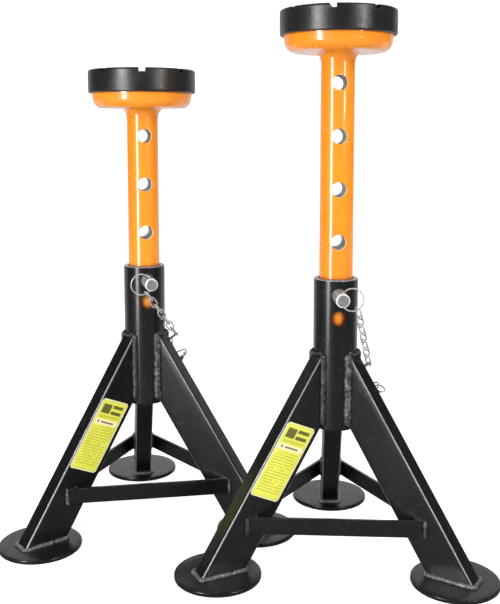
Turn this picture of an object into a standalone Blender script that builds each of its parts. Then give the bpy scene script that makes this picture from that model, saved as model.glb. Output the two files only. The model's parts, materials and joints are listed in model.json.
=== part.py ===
# A pair of pin-type axle stands: welded tripod bases, sliding posts with a
# saddle cup and a rubber pad, lock pins on short chains.
# Metres, +Z up, front towards -Y. The origin is on the floor, in the middle
# of the pair's box. Azimuths are in degrees, counter-clockwise from +X.
import math
from typing import NamedTuple

import bpy
import bmesh
from mathutils import Matrix, Vector

GAP = 0.0003                     # air between touching pieces

# ---------------------------------------------------------- the two stands


class Stand(NamedTuple):
    side: str
    position: tuple      # X, Y of the stand's axis, from the left stand's axis
    yaw: float           # degrees about its own axis
    hole: int            # post hole the pin holds, 1 is the top one
    groove_yaw: float    # turn of the pad's grooves, degrees
    ring_side: float     # side of the pin the ring hangs on: -1 left, +1 right
    ring_hold: float     # where on the ring the first link sits, degrees down
    # points on the right leg, as (along, inward, across) of leg_point
    chain_aim: tuple     # where the taut run heads
    chain_end: tuple     # last pivot, held by the chain eye
    chain_rolls: tuple   # turn of the first link and of the first loop link, degrees
    eye_normal: tuple    # normal of the eye ring's plane
    eye_out: tuple       # from the eye ring's centre towards the last link


STANDS = (
    Stand(side="left", position=(0.0, 0.0), yaw=9.35, hole=4, groove_yaw=-92.3,
          ring_side=-1.0, ring_hold=61.5,
          chain_aim=(0.0114, -0.0014, 0.0258), chain_end=(0.0280, -0.0030, 0.0180),
          chain_rolls=(165.0, 165.0),
          eye_normal=(-0.904, 0.300, 0.305), eye_out=(0.380, 0.236, 0.894)),
    Stand(side="right", position=(0.2032, -0.0878), yaw=-3.2, hole=5, groove_yaw=-97.5,
          ring_side=1.0, ring_hold=60.0,
          chain_aim=(0.0188, 0.0068, 0.0257), chain_end=(0.0360, 0.0040, 0.0180),
          chain_rolls=(150.0, 165.0),
          eye_normal=(0.241, -0.375, 0.895), eye_out=(-0.536, 0.718, 0.445)),
)

# -------------------------------------------------------------- dimensions
# centre sleeve of the base
SLEEVE_R = 0.02225
SLEEVE_BORE_R = 0.01775
SLEEVE_TOP = 0.2845
SLEEVE_BOTTOM = 0.132
SLEEVE_ROUND = 0.0014            # outer top edge; the other edges are smaller
BORE_ROUND = 0.6 * SLEEVE_ROUND
PIN_Z = 0.2695                   # upper pin hole
PIN_Z_LOW = 0.2460               # lower pin hole
HOLE_R = 0.0075                  # pin holes in sleeve and post
PIN_AZIMUTH = -84.0              # the way the pin points out of the sleeve

# saddle cup and rubber pad
PAD_R, PAD_H = 0.0575, 0.0245
PAD_ROUND = 0.0018               # top edge
PAD_LOWER_ROUND = 0.6 * PAD_ROUND
PAD_RECESS = 0.0055              # depth of the ring-shaped recess over the cup's rim
PAD_BOSS_R, PAD_BOSS_DROP = 0.026, 0.004
PAD_RIM_CLEARANCE = 0.0009       # around the cup
GROOVE_W, GROOVE_D, GROOVES = 0.0068, 0.0042, 4    # grooves across the pad's middle
GROOVE_REACH = 1.3 * PAD_R       # groove cutter's arms, past the pad's edge
CUP_R, CUP_H, CUP_WALL = 0.0540, 0.0160, 0.0040
CUP_BASE_R, CUP_ROUND = 0.0430, 0.0110      # flat underside, height of the rounded side
CUP_SIDE_INSET = 0.0010          # rounded side's top, in from the rim's radius
CUP_SIDE_DROP = 0.0010           # start of the straight rim, below the pad's lower face
CUP_INNER_INSET = 0.0045         # the same inset on the inside
CUP_RIM_BEVEL = 0.0008
NECK_R, NECK_H = 0.0232, 0.0090  # flared neck under the cup
NECK_LIP = 0.0006                # height between the flare and the cup's underside
NECK_FILLET = 0.0060             # width of the cone across that height

# post
POST_R = 0.01685
POST_BORE_R = 0.01365
POST_BEVEL = 0.0010              # lower outer edge
POST_TOP_DROP = PAD_H + CUP_H + NECK_H      # pad top to the post's top end
NECK_LOW_R = POST_R + 0.0004
HOLE_PITCH, HOLE_COUNT = 0.052, 5
HEAD_TO_HOLE1 = 0.070            # pad top to the first hole
TAIL = 0.038                     # last hole to the post's lower end

# legs: rectangular tube in upright radial planes
LEG_ANGLE = math.radians(33.0)   # from the vertical
LEG_TOP_Z = 0.207                # outer face meets the sleeve here
LEG_START = -0.008               # top end along the leg, before it is coped to the sleeve
LEG_DEPTH, LEG_WIDTH, LEG_WALL = 0.040, 0.020, 0.0022
LEG_CORNER, LEG_INNER_CORNER = 0.0024, 0.0008
LEG_AZIMUTHS = {"left": 210.0, "right": 330.0, "rear": 90.0}
COPE_BOTTOM, COPE_TOP = 0.10, 0.24          # ends of the coping cutter

# feet and braces
FOOT_R, FOOT_T, FOOT_BEVEL = 0.0425, 0.0040, 0.0008
FOOT_CIRCLE = 0.132              # sleeve axis to a foot's centre
BRACE_H, BRACE_T, BRACE_Z = 0.0165, 0.0040, 0.049   # Z of the bar's middle
BRACE_TURNS = {"front": 0.0, "right": 120.0, "left": 240.0}

# label on the left leg: corners (along, inward) on the wide face
LABEL_T = 0.0004
LABEL_CORNERS = ((0.0704, 0.0015), (0.0650, 0.0345), (0.1450, 0.0345), (0.1495, 0.0015))

# lock pin and its ring
LOCK_R = 0.0069
LOCK_FRONT, LOCK_REAR = 0.0505, 0.0250      # ends, from the sleeve's axis
LOCK_CHAMFER = 0.0013
LOCK_REAR_TAPER = (1.6 * LOCK_CHAMFER, 2.2 * LOCK_CHAMFER)     # in radius, in length
EYE_OUT, EYE_R = 0.0440, 0.0025             # cross hole for the ring
RING_R, RING_WIRE, RING_SIDE = 0.0110, 0.00105, 0.0098

# chain from the ring to an eye behind the right leg's rear face
WIRE_SEGMENTS = 6
LINK_PITCH = 0.0115
LINK_HALF, LINK_WIRE = 0.00335, 0.00085     # half width to the wire's centre, wire radius
LINK_PLAY = 0.0016                          # pivot to the wire's centre at each end
LINK_RING_PLAY, LINK_EYE_PLAY = 0.00215, 0.0024
LINKS_STRAIGHT, LINKS_LOOP = 7, 4           # a taut run, then a hanging loop
CHAIN_EYE_WIRE = 0.0009

# --------------------------------------------------------------- materials
ORANGE = "orange_gloss_paint"
BLACK = "black_satin_paint"
RUBBER = "black_rubber"
ZINC = "bright_zinc"
YELLOW = "yellow_vinyl"
CUTTER = "cutter"

# name: (base colour, roughness, metallic)
MATERIALS = {
    CUTTER: ((0.5, 0.5, 0.5), 0.5, 0.0),
    ORANGE: ((0.86, 0.30, 0.02), 0.25, 0.0),
    BLACK: ((0.018, 0.019, 0.020), 0.42, 0.0),
    RUBBER: ((0.022, 0.022, 0.024), 0.75, 0.0),
    ZINC: ((0.72, 0.72, 0.72), 0.28, 1.0),
    YELLOW: ((0.66, 0.64, 0.10), 0.45, 0.0),
}


def add_material(name, rgb, roughness, metallic):
    material = bpy.data.materials.new(name)
    material.use_nodes = True
    inputs = material.node_tree.nodes["Principled BSDF"].inputs
    inputs["Base Color"].default_value = (*rgb, 1.0)
    inputs["Roughness"].default_value = roughness
    inputs["Metallic"].default_value = metallic
    material.diffuse_color = (*rgb, 1.0)


# ----------------------------------------------------------- scene objects
SHARP_ANGLE = math.radians(35.0)


def clear():
    for obj in list(bpy.data.objects):
        bpy.data.objects.remove(obj, do_unlink=True)
    for mesh in list(bpy.data.meshes):
        bpy.data.meshes.remove(mesh)
    for material in list(bpy.data.materials):
        bpy.data.materials.remove(material)


def place(name, data, parent, location, rotation):
    obj = bpy.data.objects.new(name, data)
    bpy.context.scene.collection.objects.link(obj)
    obj.parent = parent
    obj.location = location
    obj.rotation_euler = rotation
    return obj


def add_empty(name, location, yaw=0.0, parent=None):
    """Yaw in degrees."""
    empty = place(name, None, parent, location, (0.0, 0.0, math.radians(yaw)))
    empty.empty_display_size = 0.02
    return empty


def add_piece(name, bm, material, parent, location=(0, 0, 0), rotation=(0, 0, 0)):
    bmesh.ops.recalc_face_normals(bm, faces=bm.faces)
    mesh = bpy.data.meshes.new(name)
    bm.to_mesh(mesh)
    bm.free()
    mesh.shade_smooth()
    mesh.set_sharp_from_angle(angle=SHARP_ANGLE)
    mesh.materials.append(bpy.data.materials[material])
    return place(name, mesh, parent, location, rotation)


def add_cutter(name, bm, parent, location=(0, 0, 0), rotation=(0, 0, 0)):
    tool = add_piece(name, bm, CUTTER, parent, location, rotation)
    tool.hide_render = True
    tool.display_type = 'WIRE'
    return tool


def cut(obj, tool):
    modifier = obj.modifiers.new("cut_" + tool.name, 'BOOLEAN')
    modifier.operation = 'DIFFERENCE'
    modifier.solver = 'EXACT'
    modifier.object = tool


# ---------------------------------------------------------- shape building
def arc(centre, radii, start, end, steps):
    """Points of an axis-aligned ellipse in a plane, from start to end in degrees."""
    angles = [math.radians(start + (end - start) * i / steps) for i in range(steps + 1)]
    return [(centre[0] + radii[0] * math.cos(angle), centre[1] + radii[1] * math.sin(angle))
            for angle in angles]


def circle(centre, axis_a, axis_b, radius, segments):
    """Circle in space, from axis_a towards axis_b."""
    angles = [2 * math.pi * i / segments for i in range(segments)]
    return [centre + radius * (math.cos(angle) * axis_a + math.sin(angle) * axis_b)
            for angle in angles]


def bridge(bm, ring_a, ring_b):
    """Faces between two vertex rings; a ring of one vertex is a pole."""
    count = max(len(ring_a), len(ring_b))
    if count == 1:
        return
    for i in range(count):
        j = (i + 1) % count
        if len(ring_a) == 1:
            bm.faces.new((ring_a[0], ring_b[i], ring_b[j]))
        elif len(ring_b) == 1:
            bm.faces.new((ring_a[i], ring_b[0], ring_a[j]))
        else:
            bm.faces.new((ring_a[i], ring_b[i], ring_b[j], ring_a[j]))


def closed_skin(loops):
    """Skin through loops of points, the last one joined to the first."""
    bm = bmesh.new()
    rings = [[bm.verts.new(point) for point in loop] for loop in loops]
    for i, ring in enumerate(rings):
        bridge(bm, ring, rings[(i + 1) % len(rings)])
    return bm


def lathe(profile, segments):
    """Closed profile of (radius, z), turned about Z. Points on the axis are poles."""
    angles = [2 * math.pi * i / segments for i in range(segments)]
    return closed_skin([
        [(0, 0, z)] if radius == 0
        else [(radius * math.cos(angle), radius * math.sin(angle), z) for angle in angles]
        for radius, z in profile])


def cylinder(radius, bottom, top, segments):
    return lathe([(0, bottom), (radius, bottom), (radius, top), (0, top)], segments)


def prism(bottom, top):
    """Closed solid between two loops of the same length."""
    bm = bmesh.new()
    lower = [bm.verts.new(point) for point in bottom]
    upper = [bm.verts.new(point) for point in top]
    bridge(bm, lower, upper)
    bm.faces.new(list(reversed(lower)))
    bm.faces.new(upper)
    return bm


def wire_loop(points, radius, normal):
    """Closed round wire through points that lie in a plane with this normal."""
    loops = []
    for i, point in enumerate(points):
        tangent = (points[(i + 1) % len(points)] - points[i - 1]).normalized()
        side = normal.cross(tangent).normalized()
        loops.append(circle(point, side, normal, radius, WIRE_SEGMENTS))
    return closed_skin(loops)


def cross_drill(heights, half_length):
    """Cylinders along the pin's direction, one at each height."""
    tool = bmesh.new()
    turn = (Matrix.Rotation(math.radians(PIN_AZIMUTH), 4, 'Z')
            @ Matrix.Rotation(math.pi / 2, 4, 'Y'))
    for height in heights:
        drill = cylinder(HOLE_R, -half_length, half_length, segments=18)
        mesh = bpy.data.meshes.new("drill")
        drill.to_mesh(mesh)
        drill.free()
        mesh.transform(Matrix.Translation((0, 0, height)) @ turn)
        tool.from_mesh(mesh)
        bpy.data.meshes.remove(mesh)
    return tool


def radial(azimuth, radius, across, z):
    """Point at a radius on an azimuth, then stepped across it counter-clockwise."""
    angle = math.radians(azimuth)
    return Vector((radius * math.cos(angle) - across * math.sin(angle),
                   radius * math.sin(angle) + across * math.cos(angle), z))


def leg_point(azimuth, along, inward, across):
    """Down the leg's outer face, in from it at right angles, and across the leg."""
    radius = SLEEVE_R + along * math.sin(LEG_ANGLE) - inward * math.cos(LEG_ANGLE)
    z = LEG_TOP_Z - along * math.cos(LEG_ANGLE) - inward * math.sin(LEG_ANGLE)
    return radial(azimuth, radius, across, z)


# -------------------------------------------------------------------- base
def sleeve_shape():
    profile = [(SLEEVE_BORE_R, SLEEVE_BOTTOM),
               (SLEEVE_R - SLEEVE_ROUND / 2, SLEEVE_BOTTOM),
               (SLEEVE_R, SLEEVE_BOTTOM + SLEEVE_ROUND / 2)]
    profile += arc((SLEEVE_R - SLEEVE_ROUND, SLEEVE_TOP - SLEEVE_ROUND),
                   (SLEEVE_ROUND, SLEEVE_ROUND), 0, 90, steps=2)
    profile += arc((SLEEVE_BORE_R + BORE_ROUND, SLEEVE_TOP - BORE_ROUND),
                   (BORE_ROUND, BORE_ROUND), 90, 180, steps=1)
    return lathe(profile, segments=32)


def leg_section(inset, corner):
    """Rounded rectangle of (inward, across), inset from the leg's outside."""
    near = inset + corner
    far = LEG_DEPTH - inset - corner
    half = LEG_WIDTH / 2 - inset - corner
    points = []
    for centre, start in (((far, half), 0), ((near, half), 90),
                          ((near, -half), 180), ((far, -half), 270)):
        points += arc(centre, (corner, corner), start, start + 90, steps=3)
    return points


def leg_shape(azimuth):
    """Tube, cut level just above its foot."""
    def top_end(section):
        return [leg_point(azimuth, LEG_START, inward, across) for inward, across in section]

    def bottom_end(section):
        drop = LEG_TOP_Z - FOOT_T - GAP
        return [leg_point(azimuth, (drop - inward * math.sin(LEG_ANGLE)) / math.cos(LEG_ANGLE),
                          inward, across) for inward, across in section]

    outer = leg_section(0.0, LEG_CORNER)
    inner = leg_section(LEG_WALL, LEG_INNER_CORNER)
    return closed_skin([top_end(outer), bottom_end(outer), bottom_end(inner), top_end(inner)])


def foot_shape():
    shoulder = FOOT_R - FOOT_BEVEL
    return lathe([(0, 0), (shoulder, 0), (FOOT_R, FOOT_BEVEL),
                  (FOOT_R, FOOT_T - FOOT_BEVEL), (shoulder, FOOT_T), (0, FOOT_T)], segments=36)


def brace_shape():
    """Bar between the left and right legs; the other two braces are turned copies."""
    azimuth = LEG_AZIMUTHS["right"]
    angle = math.radians(azimuth)
    leg_middle = (SLEEVE_R + (LEG_TOP_Z - BRACE_Z) * math.tan(LEG_ANGLE)
                  - LEG_DEPTH / (2 * math.cos(LEG_ANGLE)))
    face = LEG_WIDTH / 2 + GAP
    middle_y = radial(azimuth, leg_middle, -face, 0.0).y

    def end_x(y):
        """Where a line at this y meets the right leg's wide face."""
        radius = (y + face * math.cos(angle)) / math.sin(angle)
        return radius * math.cos(angle) + face * math.sin(angle)

    front, back = middle_y - BRACE_T / 2, middle_y + BRACE_T / 2
    outline = [(-end_x(front), front), (end_x(front), front),
               (end_x(back), back), (-end_x(back), back)]
    return prism([(x, y, BRACE_Z - BRACE_H / 2) for x, y in outline],
                 [(x, y, BRACE_Z + BRACE_H / 2) for x, y in outline])


def label_shape():
    face = LEG_WIDTH / 2 + GAP
    azimuth = LEG_AZIMUTHS["left"]
    return prism(*([leg_point(azimuth, along, inward, across) for along, inward in LABEL_CORNERS]
                   for across in (face, face + LABEL_T)))


def build_base(side, root):
    sleeve = add_piece(side + "_base_sleeve", sleeve_shape(), BLACK, root)
    drill = cross_drill((PIN_Z, PIN_Z_LOW), half_length=0.03)
    cut(sleeve, add_cutter(side + "_sleeve_drill", drill, root))
    cope_shape = cylinder(SLEEVE_R + GAP, COPE_BOTTOM, COPE_TOP, segments=40)
    cope = add_cutter(side + "_leg_cope", cope_shape, root)
    for name, azimuth in LEG_AZIMUTHS.items():
        leg = add_piece(f"{side}_leg_{name}", leg_shape(azimuth), BLACK, root)
        cut(leg, cope)
        add_piece(f"{side}_foot_{name}", foot_shape(), BLACK, root,
                  location=radial(azimuth, FOOT_CIRCLE, 0.0, 0.0))
    for name, turn in BRACE_TURNS.items():
        add_piece(f"{side}_brace_{name}", brace_shape(), BLACK, root,
                  rotation=(0, 0, math.radians(turn)))
    add_piece(side + "_capacity_label", label_shape(), YELLOW, root)


# ------------------------------------------------------- post, cup and pad
def post_shape(hole_heights):
    """Local z = 0 is the pad's top."""
    bottom = hole_heights[-1] - TAIL
    return lathe([(POST_BORE_R, bottom), (POST_R - POST_BEVEL, bottom),
                  (POST_R, bottom + POST_BEVEL),
                  (POST_R, -POST_TOP_DROP), (POST_BORE_R, -POST_TOP_DROP)], segments=28)


def cup_shape():
    """Saddle cup; local z = 0 is the pad's lower face."""
    rim = PAD_RECESS - GAP
    underside = -CUP_H
    neck_bottom = underside - NECK_H
    side_centre = (CUP_BASE_R, underside + CUP_ROUND)
    profile = [(0, neck_bottom)]
    profile += arc((NECK_R, neck_bottom), (NECK_R - NECK_LOW_R, NECK_H - NECK_LIP),
                   180, 90, steps=4)
    profile.append((NECK_R + NECK_FILLET, underside))
    profile += arc(side_centre, (CUP_R - CUP_SIDE_INSET - CUP_BASE_R, CUP_ROUND),
                   -90, 0, steps=5)
    profile += [(CUP_R, -CUP_SIDE_DROP), (CUP_R, rim - CUP_RIM_BEVEL),
                (CUP_R - CUP_RIM_BEVEL, rim), (CUP_R - CUP_WALL, rim)]
    profile += arc(side_centre, (CUP_R - CUP_INNER_INSET - CUP_BASE_R, CUP_ROUND - CUP_WALL),
                   0, -90, steps=3)
    profile.append((0, underside + CUP_WALL))
    return lathe(profile, segments=36)


def pad_shape():
    """Rubber pad; local z = 0 is its lower face."""
    recess_r = CUP_R + PAD_RIM_CLEARANCE
    profile = [(0, -PAD_BOSS_DROP), (PAD_BOSS_R, -PAD_BOSS_DROP), (PAD_BOSS_R, PAD_RECESS),
               (recess_r, PAD_RECESS), (recess_r, 0.0)]
    profile += arc((PAD_R - PAD_LOWER_ROUND, PAD_LOWER_ROUND),
                   (PAD_LOWER_ROUND, PAD_LOWER_ROUND), -90, 0, steps=2)
    profile += arc((PAD_R - PAD_ROUND, PAD_H - PAD_ROUND), (PAD_ROUND, PAD_ROUND),
                   0, 90, steps=2)
    profile.append((0, PAD_H))
    return lathe(profile, segments=40)


def groove_cutter_shape():
    """The grooves of the pad's top as one star."""
    arms = 2 * GROOVES
    half_step = 180.0 / arms
    notch_r = GROOVE_W / 2 / math.sin(math.radians(half_step))
    outline = []
    for i in range(arms):
        azimuth = 360.0 * i / arms
        outline += [radial(azimuth, GROOVE_REACH, -GROOVE_W / 2, PAD_H),
                    radial(azimuth, GROOVE_REACH, GROOVE_W / 2, PAD_H),
                    radial(azimuth + half_step, notch_r, 0.0, PAD_H)]
    depth = Vector((0, 0, GROOVE_D))
    return prism([point - depth for point in outline], [point + depth for point in outline])


def build_post(stand, root):
    """The post's empty is on the sleeve's axis at the pad's top."""
    side = stand.side
    top = PIN_Z + (stand.hole - 1) * HOLE_PITCH + HEAD_TO_HOLE1
    slider = add_empty(side + "_post_axis", (0, 0, top), parent=root)
    hole_heights = [-HEAD_TO_HOLE1 - i * HOLE_PITCH for i in range(HOLE_COUNT)]
    post = add_piece(side + "_post", post_shape(hole_heights), ORANGE, slider)
    drill = cross_drill(hole_heights, half_length=0.025)
    cut(post, add_cutter(side + "_post_drill", drill, slider))

    pad_bottom = (0, 0, -PAD_H)
    pad_turn = (0, 0, math.radians(stand.groove_yaw))
    add_piece(side + "_saddle_cup", cup_shape(), ORANGE, slider, pad_bottom)
    pad = add_piece(side + "_rubber_pad", pad_shape(), RUBBER, slider, pad_bottom, pad_turn)
    cut(pad, add_cutter(side + "_pad_grooves", groove_cutter_shape(), slider,
                        pad_bottom, pad_turn))


# ------------------------------------------------------- lock pin and ring
def pin_shape():
    """Along local Z, front end at -LOCK_FRONT, rear end at +LOCK_REAR."""
    taper_in, taper_length = LOCK_REAR_TAPER
    return lathe([(0, -LOCK_FRONT), (LOCK_R - LOCK_CHAMFER, -LOCK_FRONT),
                  (LOCK_R, -LOCK_FRONT + LOCK_CHAMFER), (LOCK_R, LOCK_REAR - taper_length),
                  (LOCK_R - taper_in, LOCK_REAR), (0, LOCK_REAR)], segments=24)


def pull_ring_shape():
    x_axis, y_axis, z_axis = Matrix.Identity(3)
    return wire_loop(circle(Vector(), y_axis, z_axis, RING_R, segments=22), RING_WIRE, x_axis)


def build_pin(stand, root):
    """The pin's empty is on its axis, +X out of the sleeve's front, +Y to the right."""
    side = stand.side
    axis = add_empty(side + "_pin_axis", (0, 0, PIN_Z), PIN_AZIMUTH, root)
    pin = add_piece(side + "_lock_pin", pin_shape(), ZINC, axis, rotation=(0, -math.pi / 2, 0))
    drill = cylinder(EYE_R, -0.012, 0.012, segments=12)
    cut(pin, add_cutter(side + "_pin_drill", drill, axis, location=(EYE_OUT, 0, 0)))
    add_piece(side + "_pull_ring", pull_ring_shape(), ZINC, axis,
              location=(EYE_OUT, stand.ring_side * RING_SIDE, 0.0))


# ------------------------------------------------------------------- chain
def turned(vector, axis, angle):
    return Matrix.Rotation(angle, 3, axis) @ vector


def loop_bend(chord):
    """Equal turn between the loop's links that makes them span the chord."""
    margin = 1e-4                # keeps clear of a straight and of a closed loop
    low, high = margin, 2 * math.pi / LINKS_LOOP - margin
    for _ in range(80):
        bend = (low + high) / 2
        if LINK_PITCH * math.sin(LINKS_LOOP * bend / 2) / math.sin(bend / 2) > chord:
            low = bend
        else:
            high = bend
    return (low + high) / 2


def chain_pivots(stand):
    """Pivot points from the ring to the eye."""
    hold = math.radians(stand.ring_hold)
    start = radial(PIN_AZIMUTH, EYE_OUT,
                   stand.ring_side * RING_SIDE + RING_R * math.cos(hold),
                   PIN_Z - RING_R * math.sin(hold))
    aim = leg_point(LEG_AZIMUTHS["right"], *stand.chain_aim)
    end = leg_point(LEG_AZIMUTHS["right"], *stand.chain_end)
    run = (aim - start).normalized()
    pivots = [start + run * (LINK_PITCH * i) for i in range(LINKS_STRAIGHT + 1)]

    # the loop hangs below the line to the eye
    chord = (end - pivots[-1]).length
    bend = loop_bend(chord)
    forward = (end - pivots[-1]) / chord
    down = Vector((0.0, 0.0, -1.0))
    sag = (down - forward * down.dot(forward)).normalized()
    for i in range(LINKS_LOOP):
        angle = ((LINKS_LOOP - 1) / 2 - i) * bend
        step = math.cos(angle) * forward + math.sin(angle) * sag
        pivots.append(pivots[-1] + LINK_PITCH * step)
    return pivots


def link_widths(directions, rolls):
    """Width direction of each link, a quarter turn from the link before."""
    first = directions[0]
    pin_out = radial(PIN_AZIMUTH, 1.0, 0.0, 0.0)
    width = (pin_out - first * pin_out.dot(first)).normalized()
    width = turned(width, first, math.radians(rolls[0]))
    widths = [width]
    for i in range(1, len(directions)):
        before, along = directions[i - 1], directions[i]
        axis = before.cross(along)
        if axis.length > 1e-7:
            width = turned(width, axis.normalized(), math.atan2(axis.length, before.dot(along)))
        width = along.cross(width)
        if i == LINKS_STRAIGHT:
            width = turned(width, along, math.radians(rolls[1]))
        width = width.normalized()
        widths.append(width)
    return widths


def link_shape(along, width, near_play, far_play):
    """Oval wire link about its first pivot."""
    near = LINK_HALF - near_play
    far = LINK_PITCH + far_play - LINK_HALF
    outline = (arc((far, 0), (LINK_HALF, LINK_HALF), 90, -90, steps=5)
               + arc((near, 0), (LINK_HALF, LINK_HALF), -90, -270, steps=5))
    points = [along * x + width * y for x, y in outline]
    return wire_loop(points, LINK_WIRE, along.cross(width))


def chain_eye_shape(stand):
    """Wire ring through the last pivot, its nearest side just off the leg's rear face."""
    normal = Vector(stand.eye_normal).normalized()
    out = Vector(stand.eye_out)
    out = (out - normal * out.dot(normal)).normalized()
    face_normal = radial(LEG_AZIMUTHS["right"], 0.0, 1.0, 0.0)
    height = stand.chain_end[2] - LEG_WIDTH / 2
    radius = ((height - CHAIN_EYE_WIRE - GAP)
              / (out.dot(face_normal) + math.sqrt(1 - normal.dot(face_normal) ** 2)))
    points = circle(-radius * out, out, normal.cross(out), radius, segments=20)
    return wire_loop(points, CHAIN_EYE_WIRE, normal)


def build_chain(stand, root):
    """Each link's origin is the pivot it hangs from."""
    pivots = chain_pivots(stand)
    directions = [(b - a).normalized() for a, b in zip(pivots, pivots[1:])]
    widths = link_widths(directions, stand.chain_rolls)
    last = len(directions) - 1
    for i, (pivot, along, width) in enumerate(zip(pivots, directions, widths)):
        near_play = LINK_RING_PLAY if i == 0 else LINK_PLAY
        far_play = LINK_EYE_PLAY if i == last else LINK_PLAY
        add_piece(f"{stand.side}_chain_link_{i + 1:02d}",
                  link_shape(along, width, near_play, far_play), ZINC, root, location=pivot)
    add_piece(stand.side + "_chain_eye", chain_eye_shape(stand), ZINC, root,
              location=pivots[-1])


# ---------------------------------------------------------------- assembly
def pair_middle():
    """Middle of the pair's box, which the equal round feet set, as X, Y."""
    feet = [radial(azimuth + stand.yaw, FOOT_CIRCLE, 0.0, 0.0) + Vector((*stand.position, 0.0))
            for stand in STANDS for azimuth in LEG_AZIMUTHS.values()]
    return [(min(foot[k] for foot in feet) + max(foot[k] for foot in feet)) / 2
            for k in range(2)]


def main():
    clear()
    for name, (rgb, roughness, metallic) in MATERIALS.items():
        add_material(name, rgb, roughness, metallic)
    middle_x, middle_y = pair_middle()
    for stand in STANDS:
        x, y = stand.position
        root = add_empty(stand.side + "_stand", (x - middle_x, y - middle_y, 0.0), stand.yaw)
        build_base(stand.side, root)
        build_post(stand, root)
        build_pin(stand, root)
        build_chain(stand, root)


main()
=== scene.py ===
import json
import math
import random

import bpy
import bmesh
import numpy as np
from mathutils import Matrix, Vector, noise


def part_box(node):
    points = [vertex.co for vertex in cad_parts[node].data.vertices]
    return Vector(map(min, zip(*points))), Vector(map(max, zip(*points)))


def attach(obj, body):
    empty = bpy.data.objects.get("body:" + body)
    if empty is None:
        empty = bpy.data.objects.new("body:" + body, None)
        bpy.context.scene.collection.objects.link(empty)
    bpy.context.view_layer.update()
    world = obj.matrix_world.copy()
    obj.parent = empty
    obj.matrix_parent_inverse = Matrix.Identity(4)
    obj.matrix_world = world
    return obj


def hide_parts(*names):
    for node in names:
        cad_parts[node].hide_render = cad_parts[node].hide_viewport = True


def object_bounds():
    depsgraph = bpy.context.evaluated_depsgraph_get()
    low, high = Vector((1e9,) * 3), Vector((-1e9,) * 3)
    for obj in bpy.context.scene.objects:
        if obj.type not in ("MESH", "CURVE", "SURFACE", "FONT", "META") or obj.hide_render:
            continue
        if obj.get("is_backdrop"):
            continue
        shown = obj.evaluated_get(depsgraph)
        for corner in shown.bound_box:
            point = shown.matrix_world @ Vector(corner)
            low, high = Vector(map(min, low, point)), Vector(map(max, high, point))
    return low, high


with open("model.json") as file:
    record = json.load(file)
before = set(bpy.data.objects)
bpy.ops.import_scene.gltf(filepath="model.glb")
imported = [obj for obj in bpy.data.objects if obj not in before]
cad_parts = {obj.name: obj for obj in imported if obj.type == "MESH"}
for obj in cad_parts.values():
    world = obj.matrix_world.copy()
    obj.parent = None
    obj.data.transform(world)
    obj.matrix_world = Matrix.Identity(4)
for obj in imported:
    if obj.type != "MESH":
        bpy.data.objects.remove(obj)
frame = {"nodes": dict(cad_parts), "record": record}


def plain(v):
    return [plain(x) for x in v] if hasattr(v, "__len__") else float(v)


cad_box = plain(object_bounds())
scene = bpy.context.scene
RECORD = frame["record"]
JOINTS = {j["name"]: j for j in RECORD["behaviour"]["joints"]}
NODES = frame["nodes"]

# ------------------------------------------------------------ dimensions
GAP = 0.0003
SLEEVE_R, SLEEVE_RI, SLEEVE_TOP, SLEEVE_BOTTOM = 0.02225, 0.01775, 0.2845, 0.132
PIN_Z, PIN_Z_LOW, HOLE_R, PIN_AZ = 0.2695, 0.2460, 0.0075, math.radians(-84.0)
POST_R, POST_RI, PITCH, HOLES = 0.01685, 0.01365, 0.052, 5
HEAD_TO_HOLE1, NECK_DROP, TAIL = 0.070, 0.0495, 0.038
PAD_R, PAD_H, PAD_RECESS, PAD_BOSS_R = 0.0575, 0.0245, 0.0055, 0.026
GROOVE_W, GROOVE_D, GROOVES = 0.0068, 0.0042, 4
CUP_R, CUP_H, CUP_WALL = 0.0540, 0.0160, 0.0040
CUP_BASE_R, CUP_ROUND = 0.0430, 0.0110
NECK_R, NECK_H = 0.0232, 0.0090
LEG_ANGLE, LEG_TOP_Z = math.radians(33.0), 0.207
LEG_DEPTH, LEG_WIDTH, LEG_CORNER = 0.040, 0.020, 0.0024
LEG_AZ = {"left": 210.0, "right": 330.0, "rear": 90.0}
FOOT_R, FOOT_T, FOOT_CIRCLE = 0.0425, 0.0040, 0.132
BRACE_H, BRACE_T, BRACE_Z = 0.0165, 0.0040, 0.049
LABEL_T = 0.0004
LABEL_SV = ((0.0704, 0.0015), (0.0650, 0.0345), (0.1450, 0.0345), (0.1495, 0.0015))
LOCK_R, LOCK_FRONT, LOCK_REAR, LOCK_CHAMFER = 0.0069, 0.0505, 0.0250, 0.0013
EYE_OUT, EYE_R = 0.0440, 0.0025
RING_R, RING_WIRE, RING_SIDE = 0.0110, 0.00105, 0.0098
NOTCH_AZ = {"left": math.radians(-92.3), "right": math.radians(-97.5)}
RING_TO = {"left": -1.0, "right": 1.0}
LINK_PITCH, LINK_HALF, LINK_WIRE = 0.0115, 0.00335, 0.00085
LINK_PLAY, LINK_RING_PLAY, LINK_EYE_PLAY = 0.0016, 0.00215, 0.0024
LINKS_STRAIGHT, LINKS_LOOP = 7, 4
RING_HOLD = {"left": 61.5, "right": 60.0}
CHAIN_AIM = {"left": (0.0114, -0.0014, 0.0258), "right": (0.0188, 0.0068, 0.0257)}
CHAIN_EYE = {"left": (0.0280, -0.0030, 0.0180), "right": (0.0360, 0.0040, 0.0180)}
CHAIN_ROLL = {"left": (165.0, 165.0), "right": (150.0, 165.0)}
CHAIN_EYE_WIRE = 0.0009
CHAIN_EYE_PLANE = {"left": (-0.904, 0.300, 0.305), "right": (0.241, -0.375, 0.895)}
CHAIN_EYE_OUT = {"left": (0.380, 0.236, 0.894), "right": (-0.536, 0.718, 0.445)}


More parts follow.
